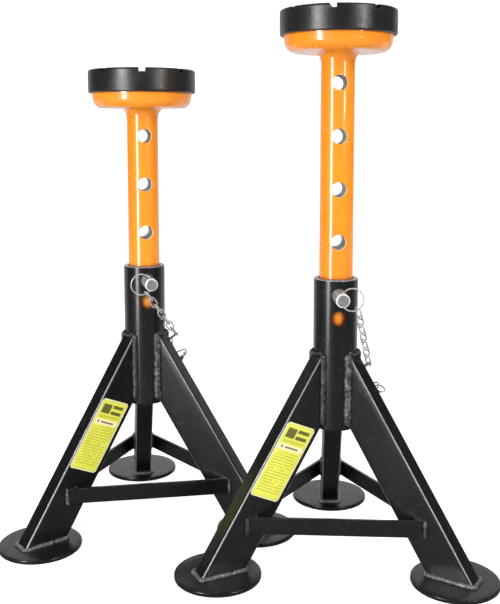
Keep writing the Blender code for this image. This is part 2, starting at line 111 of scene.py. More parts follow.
# ------------------------------------------------------- shader helpers
class Nodes:
    """Short forms for building a node tree."""

    def __init__(self, name):
        self.mat = bpy.data.materials.new(name)
        self.mat.use_nodes = True
        self.t = self.mat.node_tree
        self.b = self.t.nodes["Principled BSDF"]
        self._coord = None

    def node(self, kind, **props):
        n = self.t.nodes.new(kind)
        for k, v in props.items():
            setattr(n, k, v)
        return n

    def put(self, socket, v):
        if isinstance(v, bpy.types.NodeSocket):
            self.t.links.new(v, socket)
        elif v is not None:
            if hasattr(v, "__len__") and len(v) == 3 and socket.type == 'RGBA':
                v = (*v, 1.0)
            socket.default_value = v

    @property
    def coord(self):
        if self._coord is None:
            self._coord = self.node("ShaderNodeTexCoord")
        return self._coord

    def scaled(self, s, src="Object"):
        m = self.node("ShaderNodeMapping")
        m.inputs["Scale"].default_value = s if hasattr(s, "__len__") else (s, s, s)
        self.put(m.inputs["Vector"], self.coord.outputs[src])
        return m.outputs["Vector"]

    def noise(self, scale, detail=3.0, rough=0.55, vec=None, dist=0.0):
        n = self.node("ShaderNodeTexNoise")
        self.put(n.inputs["Vector"], vec if vec is not None else self.coord.outputs["Object"])
        n.inputs["Scale"].default_value = scale
        n.inputs["Detail"].default_value = detail
        n.inputs["Roughness"].default_value = rough
        n.inputs["Distortion"].default_value = dist
        return n.outputs["Fac"]

    def voronoi(self, scale, vec=None, feature='F1', rnd=1.0):
        n = self.node("ShaderNodeTexVoronoi", feature=feature)
        self.put(n.inputs["Vector"], vec if vec is not None else self.coord.outputs["Object"])
        n.inputs["Scale"].default_value = scale
        n.inputs["Randomness"].default_value = rnd
        return n.outputs["Distance"]

    def ramp(self, fac, stops, interp='LINEAR'):
        n = self.node("ShaderNodeValToRGB")
        n.color_ramp.interpolation = interp
        e = n.color_ramp.elements
        while len(e) < len(stops):
            e.new(0.5)
        for el, (p, c) in zip(e, stops):
            el.position = p
            el.color = (*c, 1.0) if hasattr(c, "__len__") else (c, c, c, 1.0)
        self.put(n.inputs["Fac"], fac)
        return n.outputs["Color"]

    def range(self, v, a, b, c=0.0, d=1.0):
        n = self.node("ShaderNodeMapRange")
        self.put(n.inputs["Value"], v)
        for k, x in (("From Min", a), ("From Max", b), ("To Min", c), ("To Max", d)):
            self.put(n.inputs[k], x)
        return n.outputs["Result"]

    def math(self, op, a, b=None, c=None, clamp=False):
        n = self.node("ShaderNodeMath", operation=op, use_clamp=clamp)
        for i, v in enumerate((a, b, c)):
            if v is not None:
                self.put(n.inputs[i], v)
        return n.outputs[0]

    def mix(self, fac, a, b, blend='MIX'):
        n = self.node("ShaderNodeMix", data_type='RGBA', blend_type=blend)
        self.put(n.inputs[0], fac)
        self.put(n.inputs[6], a)
        self.put(n.inputs[7], b)
        return n.outputs[2]

    def pointiness(self):
        return self.node("ShaderNodeNewGeometry").outputs["Pointiness"]

    def edge(self, radius):
        """0 on flat areas, up to 1 along edges and corners."""
        bev = self.node("ShaderNodeBevel", samples=4)
        bev.inputs["Radius"].default_value = radius
        geo = self.node("ShaderNodeNewGeometry")
        dot = self.node("ShaderNodeVectorMath", operation='DOT_PRODUCT')
        self.t.links.new(bev.outputs[0], dot.inputs[0])
        self.t.links.new(geo.outputs["Normal"], dot.inputs[1])
        return self.range(dot.outputs["Value"], 0.995, 0.86, 0.0, 1.0)

    def bump(self, height, strength, distance, normal=None):
        n = self.node("ShaderNodeBump")
        n.inputs["Strength"].default_value = strength
        n.inputs["Distance"].default_value = distance
        self.put(n.inputs["Height"], height)
        if normal is not None:
            self.put(n.inputs["Normal"], normal)
        return n.outputs["Normal"]

    def out(self, **inputs):
        for k, v in inputs.items():
            self.put(self.b.inputs[k.replace("_", " ")], v)
        return self.mat


def orange_paint():
    n = Nodes("look_orange_gloss")
    cloud = n.noise(14.0, 3.0)
    fine = n.noise(420.0, 2.0)
    col = n.mix(n.range(cloud, 0.35, 0.68), (0.655, 0.198, 0.008), (0.705, 0.232, 0.011))
    # dust specks and small scuffs
    speck = n.range(n.noise(900.0, 1.0), 0.70, 0.78)
    col = n.mix(n.math('MULTIPLY', speck, 0.35), col, (0.60, 0.17, 0.008))
    scuff = n.math('MULTIPLY', n.range(n.noise(60.0, 4.0, 0.7, n.scaled((1, 1, 0.25))), 0.66, 0.72), 0.22)
    col = n.mix(scuff, col, (0.93, 0.42, 0.08))
    e = n.edge(0.0007)
    wear = n.math('MULTIPLY', e, n.range(n.noise(150.0, 3.0), 0.46, 0.62))
    col = n.mix(n.math('MULTIPLY', wear, 0.5), col, (0.93, 0.50, 0.17))
    # painted shade: an AO mask darkens creases and the rims of the holes to dark red
    ao = n.node("ShaderNodeAmbientOcclusion", samples=6)
    ao.inputs["Distance"].default_value = 0.007
    col = n.mix(n.range(ao.outputs["AO"], 0.80, 0.30), col, (0.17, 0.012, 0.002))
    rough = n.math('ADD', n.range(n.noise(35.0, 4.0), 0.3, 0.7, 0.22, 0.34), n.math('MULTIPLY', scuff, 0.6))
    nor = n.bump(n.noise(260.0, 2.0, 0.5), 0.10, 0.0005)
    nor = n.bump(fine, 0.05, 0.0003, nor)
    return n.out(Base_Color=col, Roughness=rough, Normal=nor, IOR=1.5, Coat_Weight=0.75,
                 Coat_Roughness=0.05, Specular_IOR_Level=0.4)


def black_paint(name="look_black_satin", rough0=0.27, lift=1.0, spec=0.34):
    n = Nodes(name)
    cloud = n.noise(9.0, 4.0, 0.6)
    col = n.mix(n.range(cloud, 0.3, 0.7), (0.0040 * lift, 0.0041 * lift, 0.0043 * lift),
                (0.0068 * lift, 0.0069 * lift, 0.0072 * lift))
    # pale dust in patches
    dust = n.math('MULTIPLY', n.range(n.noise(70.0, 5.0, 0.7), 0.56, 0.78), 0.07)
    col = n.mix(dust, col, (0.12, 0.12, 0.125))
    # scratches: thin broken lines in two directions
    s1 = n.range(n.noise(1.0, 2.0, 0.5, n.scaled((60, 60, 1500))), 0.70, 0.74)
    s2 = n.range(n.noise(1.0, 2.0, 0.5, n.scaled((1400, 90, 60))), 0.71, 0.75)
    gate = n.range(n.noise(28.0, 2.0), 0.52, 0.66)
    scr = n.math('MULTIPLY', n.math('MAXIMUM', s1, s2), gate)
    col = n.mix(n.math('MULTIPLY', scr, 0.45), col, (0.15, 0.15, 0.155))
    e = n.edge(0.0010)
    chip = n.math('MULTIPLY', e, n.range(n.noise(190.0, 4.0, 0.7), 0.50, 0.60))
    col = n.mix(n.math('MULTIPLY', chip, 0.55), col, (0.34, 0.34, 0.35))
    rough = n.range(n.noise(24.0, 5.0, 0.65), 0.25, 0.75, rough0 - 0.06, rough0 + 0.05)
    rough = n.math('ADD', rough, n.math('MULTIPLY', dust, 1.2))
    nor = n.bump(n.noise(330.0, 3.0, 0.6), 0.16, 0.0006)
    nor = n.bump(n.noise(45.0, 2.0), 0.12, 0.0012, nor)
    nor = n.bump(n.math('MULTIPLY', scr, -1.0), 0.15, 0.0002, nor)
    return n.out(Base_Color=col, Roughness=rough, Normal=nor, IOR=1.5, Metallic=n.math('MULTIPLY', chip, 0.5),
                 Specular_IOR_Level=spec, Coat_Weight=0.27, Coat_Roughness=0.21)


def weld_metal(name="look_weld_bead", bright=0.8, paint=1.0):
    """Painted bead whose crests show bare bright metal, in part a painted highlight."""
    n = Nodes(name)
    p = n.range(n.pointiness(), 0.495, 0.56)
    patch = n.range(n.noise(170.0, 4.0, 0.7), 0.48, 0.66)
    # painted highlight in part: pointy crests turn bright bare metal, as much as bright allows
    bare = n.math('MULTIPLY', n.math('MULTIPLY', p, patch), bright, clamp=True)
    col = n.mix(bare, n.mix(n.noise(60.0), (0.011 * paint, 0.011 * paint, 0.0115 * paint), (0.026 * paint, 0.026 * paint, 0.027 * paint)), (0.30, 0.30, 0.31))
    rough = n.range(n.noise(220.0, 4.0), 0.3, 0.7, 0.24, 0.42)
    nor = n.bump(n.noise(900.0, 3.0, 0.65), 0.55, 0.0005)
    nor = n.bump(n.noise(380.0, 2.0, 0.5), 0.35, 0.0008, nor)
    return n.out(Base_Color=col, Roughness=rough, Metallic=n.math('MULTIPLY', bare, 0.7), Normal=nor,
                 Coat_Weight=0.35, Coat_Roughness=0.16)


def rubber():
    n = Nodes("look_rubber")
    cloud = n.noise(18.0, 5.0, 0.65)
    col = n.mix(n.range(cloud, 0.3, 0.7), (0.0060, 0.0060, 0.0063), (0.0120, 0.0121, 0.0126))
    dust = n.math('MULTIPLY', n.range(n.noise(240.0, 4.0, 0.75), 0.55, 0.75), 0.07)
    col = n.mix(dust, col, (0.13, 0.128, 0.12))
    e = n.math('MULTIPLY', n.edge(0.0014), n.range(n.noise(90.0, 4.0), 0.35, 0.65))
    col = n.mix(n.math('MULTIPLY', e, 0.30), col, (0.15, 0.15, 0.152))
    rough = n.range(n.noise(45.0, 4.0), 0.3, 0.7, 0.27, 0.40)
    grain = n.voronoi(950.0)
    nor = n.bump(grain, 0.22, 0.0003)
    nor = n.bump(n.noise(120.0, 4.0, 0.65), 0.30, 0.0006, nor)
    # faint mould lines round the side
    z = n.node("ShaderNodeSeparateXYZ")
    n.put(z.inputs[0], n.coord.outputs["Object"])
    line = n.math('PINGPONG', n.math('MULTIPLY', z.outputs["Z"], 620.0), 0.5)
    nor = n.bump(n.range(line, 0.42, 0.5), 0.06, 0.0002, nor)
    return n.out(Base_Color=col, Roughness=rough, Normal=nor, IOR=1.5, Specular_IOR_Level=0.55,
                 Sheen_Weight=0.02, Sheen_Roughness=0.5)


def zinc(name="look_zinc", tone=1.0, rough=0.24, metal=0.8):
    n = Nodes(name)
    cloud = n.noise(170.0, 4.0, 0.6)
    col = n.mix(n.range(cloud, 0.3, 0.7), (0.60 * tone, 0.605 * tone, 0.615 * tone), (0.84 * tone, 0.84 * tone, 0.83 * tone))
    stain = n.math('MULTIPLY', n.range(n.noise(420.0, 5.0, 0.75), 0.55, 0.70), 0.5)
    col = n.mix(stain, col, (0.36, 0.355, 0.34))
    r = n.range(n.noise(300.0, 4.0, 0.7), 0.3, 0.7, rough - 0.06, rough + 0.14)
    nor = n.bump(n.noise(1.0, 3.0, 0.6, n.scaled((1800, 1800, 260))), 0.10, 0.0002)
    nor = n.bump(n.noise(600.0, 4.0, 0.7), 0.16, 0.0003, nor)
    return n.out(Base_Color=col, Roughness=r, Normal=nor, Metallic=metal)


def label_print():
    """Yellow sticker: frame lines, dark blocks and rows of plain bars, no lettering."""
    n = Nodes("look_label_print")
    uv = n.node("ShaderNodeSeparateXYZ")
    n.put(uv.inputs[0], n.coord.outputs["UV"])
    u, v = uv.outputs["X"], uv.outputs["Y"]          # v runs down the label, 0 at its top

    def band(x, a, b, soft=0.004):
        return n.math('MULTIPLY', n.range(x, a - soft, a + soft), n.range(x, b + soft, b - soft))

    def rect(u0, u1, v0, v1):
        return n.math('MULTIPLY', band(u, u0, u1, 0.012), band(v, v0, v1, 0.005))

    def both(*ms):
        out = ms[0]
        for m in ms[1:]:
            out = n.math('MAXIMUM', out, m)
        return out

    base = n.mix(n.range(n.noise(55.0, 4.0), 0.3, 0.7), (0.565, 0.575, 0.050), (0.655, 0.655, 0.082))
    inner = rect(0.055, 0.945, 0.022, 0.978)
    col = n.mix(inner, (0.70, 0.68, 0.36), base)
    ring = n.math('SUBTRACT', rect(0.035, 0.965, 0.014, 0.986), rect(0.060, 0.940, 0.0235, 0.9765), clamp=True)
    col = n.mix(n.math('MULTIPLY', ring, 0.50), col, (0.16, 0.16, 0.02))
    # plain dark blocks at the head
    marks = both(rect(0.12, 0.44, 0.066, 0.196), rect(0.49, 0.88, 0.066, 0.112), rect(0.49, 0.88, 0.150, 0.196))
    col = n.mix(n.math('MULTIPLY', marks, 0.90), col, (0.045, 0.045, 0.014))
    # fine lines under the marks
    lines = both(rect(0.12, 0.88, 0.226, 0.236), rect(0.12, 0.80, 0.246, 0.255))
    col = n.mix(n.math('MULTIPLY', lines, 0.70), col, (0.15, 0.15, 0.02))
    strip = rect(0.09, 0.91, 0.282, 0.352)
    col = n.mix(strip, col, (0.78, 0.70, 0.44))
    bar = both(rect(0.30, 0.78, 0.304, 0.330), rect(0.16, 0.235, 0.300, 0.334))
    col = n.mix(n.math('MULTIPLY', bar, 0.85), col, (0.07, 0.055, 0.02))
    # rows of plain bars, broken at uneven places
    rows = n.math('FRACT', n.math('MULTIPLY', v, 27.0))
    row_id = n.math('FLOOR', n.math('MULTIPLY', v, 27.0))
    on = band(rows, 0.30, 0.66, 0.08)
    comb = n.node("ShaderNodeCombineXYZ")
    n.put(comb.inputs[0], n.math('MULTIPLY', u, 7.0))
    n.put(comb.inputs[1], n.math('MULTIPLY', row_id, 3.7))
    dash = n.range(n.noise(2.1, 1.0, 0.5, comb.outputs[0]), 0.415, 0.445)
    field = rect(0.11, 0.89, 0.385, 0.935)
    small = n.math('MULTIPLY', n.math('MULTIPLY', on, dash), field)
    col = n.mix(n.math('MULTIPLY', small, 0.62), col, (0.20, 0.20, 0.02))
    # scuffs
    scuff = n.math('MULTIPLY', n.range(n.noise(420.0, 5.0, 0.75), 0.60, 0.70), 0.25)
    col = n.mix(scuff, col, (0.80, 0.78, 0.48))
    rough = n.range(n.noise(90.0, 4.0), 0.3, 0.7, 0.30, 0.46)
    nor = n.bump(n.noise(160.0, 3.0), 0.10, 0.0003)
    nor = n.bump(n.math('MAXIMUM', marks, small), 0.12, 0.0001, nor)
    return n.out(Base_Color=col, Roughness=rough, Normal=nor, Coat_Weight=0.35, Coat_Roughness=0.12)


MAT = {
    "orange": orange_paint(),
    "black": black_paint(),
    "bore": black_paint("look_black_bore", 0.55, 0.7),
    "weld": weld_metal(),
    # painted light: near-white bare metal for the post's hole walls and bore
    "cut": zinc("look_bare_hole_wall_painted_light", 1.16, 0.5, 0.05),
    # painted shade: a darker copy of the weld, with fewer bright crests, for beads in shade
    "shaded_weld": weld_metal("look_weld_painted_shade", 0.25, 0.8),
    "foot_weld": weld_metal("look_weld_foot", 1.0, 3.6),
    # pale grey: worn metal on the sleeve rim, and a painted highlight on the leg corners
    "edge": black_paint("look_black_wear_and_painted_highlight", 0.20, 28.0, 0.6),
    "rubber": rubber(),
    "zinc": zinc(),
    # painted highlight: paler zinc for the pin's chamfer ring
    "bright": zinc("look_zinc_painted_highlight", 1.08, 0.20, 0.35),
    "wire": zinc("look_zinc_wire", 0.66, 0.22, 0.5),
    "dark_zinc": zinc("look_zinc_dark", 0.34, 0.34, 0.55),
    "label": label_print(),
}


# ------------------------------------------------------------ mesh helpers
def finish_mesh(name, bm, mat, body, world, replaces=(), sharp=32.0, keep_uv=False):
    bmesh.ops.recalc_face_normals(bm, faces=bm.faces)
    me = bpy.data.meshes.new(name)
    bm.to_mesh(me)
    bm.free()
    me.transform(world)
    me.shade_smooth()
    me.set_sharp_from_angle(angle=math.radians(sharp))
    me.materials.append(MAT[mat])
    o = bpy.data.objects.new(name, me)
    scene.collection.objects.link(o)
    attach(o, body)
    if replaces:
        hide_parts(*replaces)
    return o


def lathe(profile, seg):
    bm = bmesh.new()
    rings = []
    for r, z in profile:
        if r < 1e-9:
            rings.append([bm.verts.new((0, 0, z))])
        else:
            rings.append([bm.verts.new((r * math.cos(2 * math.pi * i / seg),
                                        r * math.sin(2 * math.pi * i / seg), z)) for i in range(seg)])
    n = len(rings)
    for k in range(n):
        a, b = rings[k], rings[(k + 1) % n]
        if len(a) == 1 and len(b) == 1:
            continue
        for i in range(seg):
            j = (i + 1) % seg
            if len(a) == 1:
                bm.faces.new((a[0], b[i], b[j]))
            elif len(b) == 1:
                bm.faces.new((a[i], b[0], a[j]))
            else:
                bm.faces.new((a[i], b[i], b[j], a[j]))
    return bm


def arc(cx, cz, r, a0, a1, n):
    return [(cx + r * math.cos(math.radians(a0 + (a1 - a0) * i / n)),
             cz + r * math.sin(math.radians(a0 + (a1 - a0) * i / n))) for i in range(n + 1)]


def sweep(points, radii, seg=12, closed=False, up=Vector((0, 0, 1)), shape=None):
    """Round bar through points; shape(i, k) may scale the radius and shift along the path."""
    bm = bmesh.new()
    n = len(points)
    rings = []
    side = None
    for i, p in enumerate(points):
        if closed:
            t = (points[(i + 1) % n] - points[i - 1]).normalized()
        else:
            t = (points[min(i + 1, n - 1)] - points[max(i - 1, 0)]).normalized()
        s = up.cross(t)
        if s.length < 1e-4:
            s = side if side is not None else Vector((1, 0, 0)).cross(t)
        side = s.normalized()
        w = t.cross(side).normalized()
        r = radii if isinstance(radii, float) else radii[i]
        ring = []
        for k in range(seg):
            a = 2 * math.pi * k / seg
            f, sh = shape(i, a) if shape else (1.0, 0.0)
            ring.append(bm.verts.new(p + r * f * (math.cos(a) * side + math.sin(a) * w) + t * sh))
        rings.append(ring)
    m = n if closed else n - 1
    for i in range(m):
        a, b = rings[i], rings[(i + 1) % n]
        for k in range(seg):
            q = (k + 1) % seg
            bm.faces.new((a[k], a[q], b[q], b[k]))
    if not closed:
        bm.faces.new(list(reversed(rings[0])))
        bm.faces.new(rings[-1])
    return bm


def resample(points, step):
    """Evenly spaced points along a polyline."""
    seg = [(points[i + 1] - points[i]).length for i in range(len(points) - 1)]
    total = sum(seg)
    n = max(4, int(total / step))
    out = []
    for k in range(n + 1):
        d = total * k / n
        i = 0
        while i < len(seg) - 1 and d > seg[i]:
            d -= seg[i]
            i += 1
        out.append(points[i].lerp(points[i + 1], min(1.0, d / max(seg[i], 1e-9))))
    return out


def bead_bm(path, r, seed, pitch=0.0026, step=0.00045, flat=None, wobble=0.10, phase=0.0):
    """Weld bead: overlapping crescents along a path, its ends tapered."""
    pts = resample(path, step)
    n = len(pts)
    length = sum((pts[i + 1] - pts[i]).length for i in range(n - 1))
    ds = length / (n - 1)
    rng = random.Random(seed)
    offs = [rng.uniform(-0.25, 0.25) for _ in range(int(length / pitch) + 4)]
    amps = [rng.uniform(0.85, 1.15) for _ in offs]
    radii, out = [], []
    for i, p in enumerate(pts):
        s = i * ds
        q = s / pitch + phase
        j = int(q)
        f = q - j + 0.12 * offs[j % len(offs)]
        hump = math.sqrt(max(0.0, 1.0 - (2 * min(max(f, 0), 1) - 0.9) ** 2 * 0.8))
        a = amps[j % len(amps)]
        end = min(1.0, min(s, length - s) / (1.3 * r))
        taper = math.sqrt(max(0.04, 1 - (1 - end) ** 2))
        radii.append(r * (0.80 + 0.22 * hump * a) * taper)
        w = noise.noise_vector(Vector((seed * 7.3, s * 220.0, 0.0))) * r * wobble
        out.append(p + w)
    return sweep(out, radii, 14, up=flat if flat is not None else Vector((0.3, 0.2, 0.93)),
                 shape=lambda i, a: (1.0 + 0.05 * noise.noise(Vector((math.cos(a) * 1.3, math.sin(a) * 1.3, i * ds * 900 + seed))),
                                     0.00045 * math.cos(2 * a)))


def radial(az_deg, r, t, z):
    a = math.radians(az_deg)
    return Vector((r * math.cos(a) - t * math.sin(a), r * math.sin(a) + t * math.cos(a), z))


def leg_point(az, s, v, t):
    r = SLEEVE_R + s * math.sin(LEG_ANGLE) - v * math.cos(LEG_ANGLE)
    z = LEG_TOP_Z - s * math.cos(LEG_ANGLE) - v * math.sin(LEG_ANGLE)
    return radial(az, r, t, z)


def rounded_rect(v0, v1, t0, t1, r, n=7, side=6):
    pts = []
    for cv, ct, a0 in ((v1 - r, t1 - r, 0), (v0 + r, t1 - r, 90), (v0 + r, t0 + r, 180), (v1 - r, t0 + r, 270)):
        for i in range(n + 1):
            a = math.radians(a0 + 90 * i / n)
            pts.append((cv + r * math.cos(a), ct + r * math.sin(a)))
    out = []
    for i, p in enumerate(pts):
        q = pts[(i + 1) % len(pts)]
        out.append(p)
        d = math.dist(p, q)
        if d > 0.004:
            for k in range(1, side):
                out.append((p[0] + (q[0] - p[0]) * k / side, p[1] + (q[1] - p[1]) * k / side))
    return out


def saddle_cutter(R, rh, lip, seg=56):
    """Cutter along X for a hole through a tube of radius R, with a small even chamfer at both mouths."""
    bm = bmesh.new()
    rings = []
    h = 0.0012
    for sgn, k in ((-1, 2), (-1, 1), (-1, 0), (1, 0), (1, 1), (1, 2)):
        ring = []
        for i in range(seg):
            a = 2 * math.pi * i / seg
            y, z = math.cos(a), math.sin(a)
            x = math.sqrt(R * R - (rh * y) ** 2)
            if k == 0:
                xx, r = x - lip, rh
            elif k == 1:
                xx, r = x + h, rh + lip + h
            else:
                xx, r = x + 0.006, rh + lip + h
            ring.append(bm.verts.new((sgn * xx, r * y, r * z)))
        rings.append(ring)
    for a, b in zip(rings, rings[1:]):
        for i in range(seg):
            j = (i + 1) % seg
            bm.faces.new((a[i], a[j], b[j], b[i]))
    bm.faces.new(list(reversed(rings[0])))
    bm.faces.new(rings[-1])
    return bm


def boolean(o, cutters):
    for c in cutters:
        m = o.modifiers.new("cut", 'BOOLEAN')
        m.operation, m.solver, m.object = 'DIFFERENCE', 'EXACT', c
    dg = bpy.context.evaluated_depsgraph_get()
    me = bpy.data.meshes.new_from_object(o.evaluated_get(dg))
    o.modifiers.clear()
    old = o.data
    o.data = me
    bpy.data.meshes.remove(old)
    for c in cutters:
        bpy.data.objects.remove(c)


def temp(bm, world):
    bmesh.ops.recalc_face_normals(bm, faces=bm.faces)
    me = bpy.data.meshes.new("tmp")
    bm.to_mesh(me)
    bm.free()
    me.transform(world)
    o = bpy.data.objects.new("tmp", me)
    scene.collection.objects.link(o)
    return o


def round_normals(o, world, R):
    """True round normals on the tube's wall, so the cut facets don't show."""
    me = o.data
    me.set_sharp_from_angle(angle=math.radians(32))
    inv = world.inverted()
    rot = world.to_3x3()
    norms = [Vector(c.vector) for c in me.corner_normals]
    for p in me.polygons:
        c = inv @ p.center
        nl = (inv.to_3x3() @ p.normal)
        rad = Vector((c.x, c.y, 0))
        if rad.length < R * 0.97 or abs(nl.z) > 0.05 or nl.dot(rad.normalized()) < 0.985:
            continue
        for li in p.loop_indices:
            v = inv @ me.vertices[me.loops[li].vertex_index].co
            norms[li] = (rot @ Vector((v.x, v.y, 0)).normalized())
    me.normals_split_custom_set([tuple(x) for x in norms])


# --------------------------------------------------------------- pieces
def sleeve(side, M, body):
    b = 0.0014
    prof = [(SLEEVE_RI, SLEEVE_BOTTOM)]
    prof += arc(SLEEVE_R - 0.0009, SLEEVE_BOTTOM + 0.0009, 0.0009, -90, 0, 4)
    prof += arc(SLEEVE_R - b, SLEEVE_TOP - b, b, 0, 90, 6)
    prof += arc(SLEEVE_RI + b * 0.6, SLEEVE_TOP - b * 0.6, b * 0.6, 90, 180, 5)
    o = finish_mesh(side + "_sleeve_tube", lathe(prof, 128), "black", body, M, [side + "_base_sleeve"])
    cuts = []
    for z in (PIN_Z, PIN_Z_LOW):
        W = M @ Matrix.Translation((0, 0, z)) @ Matrix.Rotation(PIN_AZ, 4, 'Z')
        cuts.append(temp(saddle_cutter(SLEEVE_R, HOLE_R, 0.0005), W))
    boolean(o, cuts)
    # the top rim, rubbed bright by the post
    o.data.materials.append(MAT["edge"])
    inv = M.inverted()
    for p in o.data.polygons:
        c = inv @ p.center
        if c.z > SLEEVE_TOP - 0.0011 and SLEEVE_RI + 0.0002 < math.hypot(c.x, c.y):
            p.material_index = len(o.data.materials) - 1
    round_normals(o, M, SLEEVE_R)
    return o


def post(side, M, top, body):
    T = M @ Matrix.Translation((0, 0, top))
    low = -HEAD_TO_HOLE1 - (HOLES - 1) * PITCH - TAIL
    b = 0.0010
    prof = [(POST_RI, low), (POST_R - b, low), (POST_R - 0.3 * b, low + 0.3 * b), (POST_R, low + b),
            (POST_R, -NECK_DROP), (POST_RI, -NECK_DROP)]
    o = finish_mesh(side + "_post_tube", lathe(prof, 128), "orange", body, T, [side + "_post"])
    cuts = []
    for i in range(HOLES):
        W = T @ Matrix.Translation((0, 0, -HEAD_TO_HOLE1 - i * PITCH)) @ Matrix.Rotation(PIN_AZ, 4, 'Z')
        cuts.append(temp(saddle_cutter(POST_R, HOLE_R, 0.00045), W))
    boolean(o, cuts)
    # painted light: the holes' cut walls and the bore get a near-white bare-metal material, so they read as lit inside
    # the tube
    o.data.materials.append(MAT["cut"])
    inv, rot = T.inverted(), T.to_3x3().inverted()
    fwd = Vector((math.cos(PIN_AZ), math.sin(PIN_AZ), 0))
    for p in o.data.polygons:
        c, nl = inv @ p.center, rot @ p.normal
        if Vector((c.x, c.y, 0)).length < POST_RI + 0.0003:
            p.material_index = len(o.data.materials) - 1
        for i in range(HOLES):
            q = c - Vector((0, 0, -HEAD_TO_HOLE1 - i * PITCH))
            if (q - fwd * q.dot(fwd)).length < HOLE_R + 0.0002 and abs(nl.dot(fwd)) < 0.35:
                p.material_index = len(o.data.materials) - 1
    round_normals(o, T, POST_R)
    return o


def bowl(cx, cz, rx, rz, a0, a1, n):
    """Part of an ellipse in the (r, z) plane."""
    return [(cx + rx * math.cos(math.radians(a0 + (a1 - a0) * i / n)),
             cz + rz * math.sin(math.radians(a0 + (a1 - a0) * i / n))) for i in range(n + 1)]


def cup(side, M, top, body):
    T = M @ Matrix.Translation((0, 0, top - PAD_H))
    rim, zb = PAD_RECESS - GAP, -CUP_H
    r0 = POST_R + 0.0004
    prof = [(0.0, zb - NECK_H), (r0 - 0.0004, zb - NECK_H)]
    for i in range(0, 13):
        a = math.radians(90.0 * i / 12)
        prof.append((r0 + (NECK_R - r0) * (1 - math.cos(a)), zb - NECK_H + (NECK_H - 0.0006) * math.sin(a)))
    for i in range(1, 6):
        f = i / 6
        prof.append((NECK_R + 0.006 * f, zb - 0.0006 * (1 - f) ** 2))
    prof += bowl(CUP_BASE_R, zb + CUP_ROUND, CUP_R - 0.001 - CUP_BASE_R, CUP_ROUND, -90, 0, 22)
    prof += [(CUP_R - 0.0004, -0.003), (CUP_R, -0.001)]
    prof += arc(CUP_R - 0.0012, rim - 0.0012, 0.0012, 0, 90, 5)
    prof += [(CUP_R - CUP_WALL, rim)]
    prof += bowl(CUP_BASE_R, zb + CUP_ROUND, CUP_R - 0.0045 - CUP_BASE_R, CUP_ROUND - CUP_WALL, 0, -90, 9)
    prof += [(0.0, zb + CUP_WALL)]
    return finish_mesh(side + "_saddle_dish", lathe(prof, 144), "orange", body, T, [side + "_saddle_cup"], 40)


def pad(side, M, top, body):
    T = M @ Matrix.Translation((0, 0, top - PAD_H)) @ Matrix.Rotation(NOTCH_AZ[side], 4, 'Z')
    b = 0.0022
    ro = CUP_R + 0.0009
    prof = [(0.0, -0.004), (PAD_BOSS_R, -0.004), (PAD_BOSS_R, PAD_RECESS), (ro, PAD_RECESS), (ro, 0.0004), (ro + 0.0004, 0.0)]
    prof += arc(PAD_R - 0.0016, 0.0016, 0.0016, -90, 0, 5)
    # the wall bulges a little and carries a shallow mould step
    for i in range(1, 8):
        f = i / 8
        prof.append((PAD_R - 0.00018 * (1 - math.sin(math.pi * f)), 0.0016 + (PAD_H - b - 0.0016) * f))
    prof += arc(PAD_R - b, PAD_H - b, b, 0, 90, 7)
    prof += [(PAD_R * 0.72, PAD_H), (PAD_R * 0.40, PAD_H), (0.0, PAD_H)]
    o = finish_mesh(side + "_pad_rubber", lathe(prof, 160), "rubber", body, T, [side + "_rubber_pad"], 34)
    arms = 2 * GROOVES
    bm = bmesh.new()
    loop = []
    for i in range(arms):
        th = 2 * math.pi * i / arms
        c, q = Vector((math.cos(th), math.sin(th), 0)), Vector((-math.sin(th), math.cos(th), 0))
        loop += [c * 1.3 * PAD_R - q * GROOVE_W / 2, c * 1.3 * PAD_R + q * GROOVE_W / 2]
        half = math.pi / arms
        ri = GROOVE_W / 2 / math.sin(half)
        loop.append(Vector((ri * math.cos(th + half), ri * math.sin(th + half), 0)))
    lo = [bm.verts.new(p + Vector((0, 0, PAD_H - GROOVE_D))) for p in loop]
    hi = [bm.verts.new(p * 1.0 + Vector((0, 0, PAD_H + GROOVE_D))) for p in loop]
    n = len(loop)
    for i in range(n):
        j = (i + 1) % n
        bm.faces.new((lo[i], lo[j], hi[j], hi[i]))
    bm.faces.new(list(reversed(lo)))
    bm.faces.new(hi)
    boolean(o, [temp(bm, T)])
    # soften the groove edges
    bm = bmesh.new()
    bm.from_mesh(o.data)
    inv = T.inverted()
    edges = []
    for e in bm.edges:
        if len(e.link_faces) == 2 and e.calc_face_angle(0) > math.radians(50):
            a, c = inv @ e.verts[0].co, inv @ e.verts[1].co
            if min(a.z, c.z) > PAD_H - GROOVE_D * 0.9 and max(math.hypot(a.x, a.y), math.hypot(c.x, c.y)) < PAD_R - b * 1.1:
                edges.append(e)
    bmesh.ops.bevel(bm, geom=edges, offset=0.0006, segments=3, profile=0.5, affect='EDGES', clamp_overlap=True)
    bm.to_mesh(o.data)
    bm.free()
    o.data.shade_smooth()
    o.data.set_sharp_from_angle(angle=math.radians(36))
    return o


